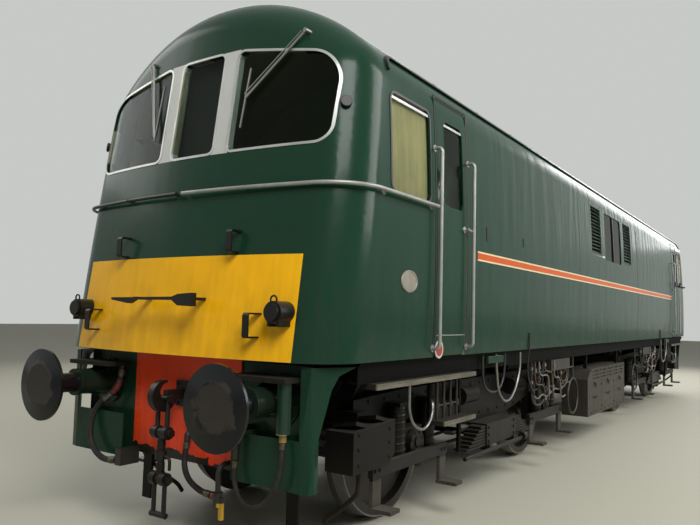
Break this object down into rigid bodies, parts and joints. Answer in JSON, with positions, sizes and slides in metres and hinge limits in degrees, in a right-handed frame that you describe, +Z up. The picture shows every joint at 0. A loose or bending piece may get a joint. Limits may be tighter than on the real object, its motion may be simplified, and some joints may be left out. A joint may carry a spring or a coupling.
{
  "type": "electric locomotive",
  "caption": "Bo-Bo electric locomotive with a cab at each end, swivelling bogies with turning wheelsets, inward-opening cab doors and a folding diamond pantograph",
  "frame": {"origin": "middle of the locomotive on the floor plane that the wheel flanges touch", "axes": "+X is the side that shows in the picture, the number 1 cab faces -Y, +Z is up"},
  "size_m": [2.864, 15.42, 4.02],
  "materials": {
    "body_green": "gloss",
    "window_glass": "clear",
    "frame_metal": "satin",
    "gutter_black": "satin",
    "rail_grey": "satin",
    "fitting_black": "satin",
    "wiper_metal": "satin",
    "underframe_black": "matt",
    "bogie_black": "matt",
    "beam_red": "gloss",
    "step_timber": "weathered",
    "buffer_steel": "greased",
    "coupling_iron": "oily",
    "battery_taupe": "matt",
    "machine_grey": "matt",
    "cab_green": "satin",
    "pipe_steel": "dirty",
    "hose_rubber": "matt",
    "panto_metal": "satin",
    "wheel_steel": "worn tread",
    "motor_black": "matt",
    "brake_iron": "rusty",
    "shoe_iron": "worn"
  },
  "bodies": {
    "body": {"underframe": "underframe_black", "side_right": "body_green", "side_left": "body_green", "roof": "body_green", "roof_well": "body_green", "cab_1": "body_green", "cab_2": "body_green", "bulkheads": "cab_green", "glass": "window_glass", "window_frames": "frame_metal", "louvres": "body_green", "gutters": "gutter_black", "handrails": "rail_grey", "front_fittings": "fitting_black", "wipers": "wiper_metal", "beam_panels": "beam_red", "cowls": "body_green", "timber_steps": "step_timber", "buffers": "buffer_steel", "couplings": "coupling_iron", "battery_boxes": "battery_taupe", "booster_sets": "machine_grey", "cab_furniture": "cab_green", "pipes": "pipe_steel", "panto_base": "panto_metal", "hose_1_left": "hose_rubber", "hose_1_centre": "hose_rubber", "hose_1_right": "hose_rubber", "hose_2_left": "hose_rubber", "hose_2_centre": "hose_rubber", "hose_2_right": "hose_rubber"},
    "door_1_right": {"door_1_right": "body_green", "door_1_right_pane": "window_glass"},
    "door_1_left": {"door_1_left": "body_green", "door_1_left_pane": "window_glass"},
    "door_2_right": {"door_2_right": "body_green", "door_2_right_pane": "window_glass"},
    "door_2_left": {"door_2_left": "body_green", "door_2_left_pane": "window_glass"},
    "panto_lower_1": {"panto_lower_1": "panto_metal"},
    "panto_lower_2": {"panto_lower_2": "panto_metal"},
    "panto_upper_1": {"panto_upper_1": "panto_metal"},
    "panto_upper_2": {"panto_upper_2": "panto_metal"},
    "panto_head": {"panto_head": "panto_metal"},
    "bogie_1": {"bogie_1_frame": "bogie_black", "bogie_1_boxes": "bogie_black", "bogie_1_motors": "motor_black", "bogie_1_brakes": "brake_iron", "bogie_1_shoe_gear": "shoe_iron"},
    "bogie_2": {"bogie_2_frame": "bogie_black", "bogie_2_boxes": "bogie_black", "bogie_2_motors": "motor_black", "bogie_2_brakes": "brake_iron", "bogie_2_shoe_gear": "shoe_iron"},
    "wheelset_1": {"wheelset_1": "wheel_steel"},
    "wheelset_2": {"wheelset_2": "wheel_steel"},
    "wheelset_3": {"wheelset_3": "wheel_steel"},
    "wheelset_4": {"wheelset_4": "wheel_steel"}
  },
  "joints": [
    {"name": "bogie_1_swivel", "type": "hinge", "parent": "body", "child": "bogie_1", "pos_m": [0, -4.115, 1.05], "axis": [0, 0, 1], "range_deg": [-3, 3]},
    {"name": "bogie_2_swivel", "type": "hinge", "parent": "body", "child": "bogie_2", "pos_m": [0, 4.115, 1.05], "axis": [0, 0, 1], "range_deg": [-3, 3]},
    {"name": "wheelset_1_spin", "type": "hinge", "parent": "bogie_1", "child": "wheelset_1", "pos_m": [0, -5.715, 0.6395], "axis": [1, 0, 0], "continuous": true},
    {"name": "wheelset_2_spin", "type": "hinge", "parent": "bogie_1", "child": "wheelset_2", "pos_m": [0, -2.515, 0.6395], "axis": [1, 0, 0], "continuous": true},
    {"name": "wheelset_3_spin", "type": "hinge", "parent": "bogie_2", "child": "wheelset_3", "pos_m": [0, 2.515, 0.6395], "axis": [1, 0, 0], "continuous": true},
    {"name": "wheelset_4_spin", "type": "hinge", "parent": "bogie_2", "child": "wheelset_4", "pos_m": [0, 5.715, 0.6395], "axis": [1, 0, 0], "continuous": true},
    {"name": "door_1_right_hinge", "type": "hinge", "parent": "body", "child": "door_1_right", "pos_m": [1.262, -5.342, 2.3], "axis": [0, 0, -1], "range_deg": [0, 85]},
    {"name": "door_1_left_hinge", "type": "hinge", "parent": "body", "child": "door_1_left", "pos_m": [-1.262, -5.342, 2.3], "axis": [0, 0, 1], "range_deg": [0, 85]},
    {"name": "door_2_right_hinge", "type": "hinge", "parent": "body", "child": "door_2_right", "pos_m": [1.262, 5.342, 2.3], "axis": [0, 0, 1], "range_deg": [0, 85]},
    {"name": "door_2_left_hinge", "type": "hinge", "parent": "body", "child": "door_2_left", "pos_m": [-1.262, 5.342, 2.3], "axis": [0, 0, -1], "range_deg": [0, 85]},
    {"name": "panto_raise", "type": "hinge", "parent": "body", "child": "panto_lower_1", "pos_m": [0, -0.15, 3.72], "axis": [-1, 0, 0], "range_deg": [0, 57]},
    {"name": "panto_lower_2_turn", "type": "hinge", "parent": "body", "child": "panto_lower_2", "pos_m": [0, 0.15, 3.72], "axis": [1, 0, 0], "range_deg": [0, 57]},
    {"name": "panto_upper_1_turn", "type": "hinge", "parent": "panto_lower_1", "child": "panto_upper_1", "pos_m": [0, -1.59801, 3.79589], "axis": [1, 0, 0], "range_deg": [0, 114]},
    {"name": "panto_upper_2_turn", "type": "hinge", "parent": "panto_lower_2", "child": "panto_upper_2", "pos_m": [0, 1.59801, 3.79589], "axis": [-1, 0, 0], "range_deg": [0, 114]},
    {"name": "panto_head_turn", "type": "hinge", "parent": "panto_upper_1", "child": "panto_head", "pos_m": [0, -0.15, 3.87177], "axis": [-1, 0, 0], "range_deg": [0, 57]}
  ],
  "couplings": [
    {"joint": "panto_lower_2_turn", "follows": "panto_raise", "ratio": 1},
    {"joint": "panto_upper_1_turn", "follows": "panto_raise", "ratio": 2},
    {"joint": "panto_upper_2_turn", "follows": "panto_raise", "ratio": 2},
    {"joint": "panto_head_turn", "follows": "panto_raise", "ratio": 1}
  ]
}
